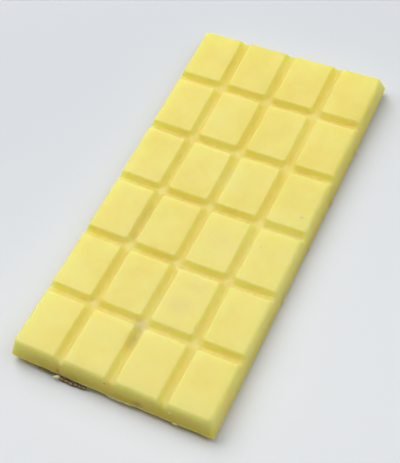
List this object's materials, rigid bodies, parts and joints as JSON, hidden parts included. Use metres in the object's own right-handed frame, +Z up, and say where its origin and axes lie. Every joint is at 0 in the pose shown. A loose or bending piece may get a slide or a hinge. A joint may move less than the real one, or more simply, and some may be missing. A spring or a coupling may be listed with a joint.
{
  "type": "chocolate bar",
  "caption": "Moulded white chocolate bar with flat rectangular blocks divided by grooves for breaking, lying with its moulded face up.",
  "frame": {"origin": "middle of the bar's outline, at the level of the surface it rests on", "axes": "+X across the width, +Y along the length, +Z up out of the moulded face"},
  "size_m": [0.0752, 0.1526, 0.0098],
  "materials": {
    "white_chocolate": "satin, pale yellow, as turned out of a plastic mould",
    "nut_crumb": "matt brown skin round a pale middle, on the crumbs of topping under the bar"
  },
  "bodies": {
    "root": {"bar": "white_chocolate"}
  },
  "joints": []
}
